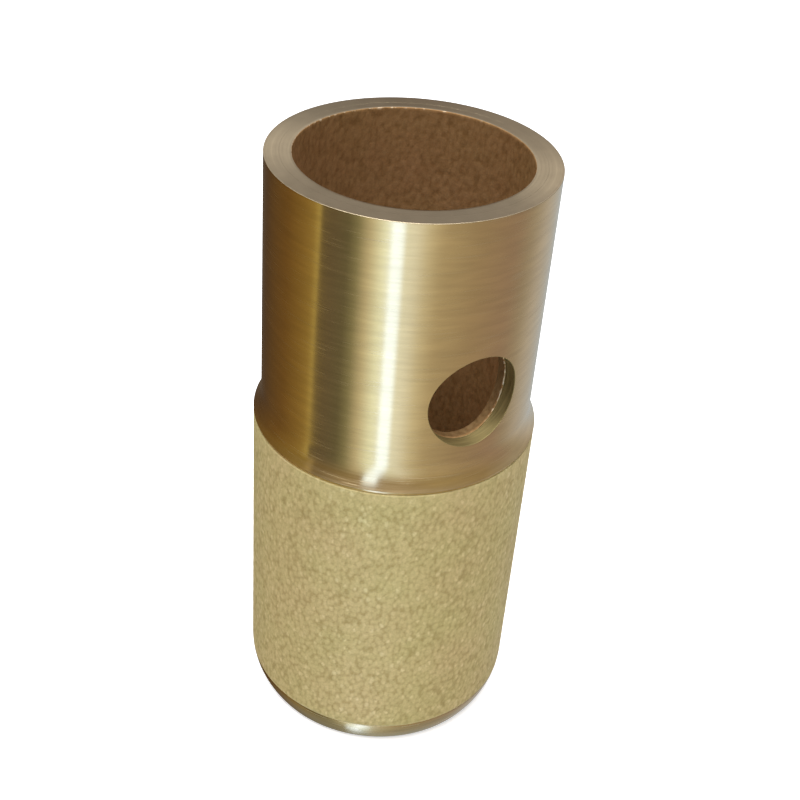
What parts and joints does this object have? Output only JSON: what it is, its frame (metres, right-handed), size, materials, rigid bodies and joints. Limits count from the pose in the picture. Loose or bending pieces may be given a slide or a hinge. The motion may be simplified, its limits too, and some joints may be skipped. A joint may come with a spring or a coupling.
{
  "type": "pneumatic muffler",
  "caption": "Sintered-bronze air muffler: smooth turned brass sleeve with a round cross hole, above a porous bronze cup closed by a round-edged end disc.",
  "frame": {"origin": "centre of the flat bottom face of the end disc", "axes": "+Z along the axis towards the open mouth, -Y through the cross hole"},
  "size_m": [0.0302, 0.0302, 0.0662],
  "materials": {
    "machined_brass": "fine turned, satin, marks run round the axis",
    "sintered_bronze": "matte, grainy, as sintered"
  },
  "bodies": {
    "root": {"mounting_sleeve": "machined_brass", "porous_body": "sintered_bronze", "end_disc": "machined_brass"}
  },
  "joints": []
}
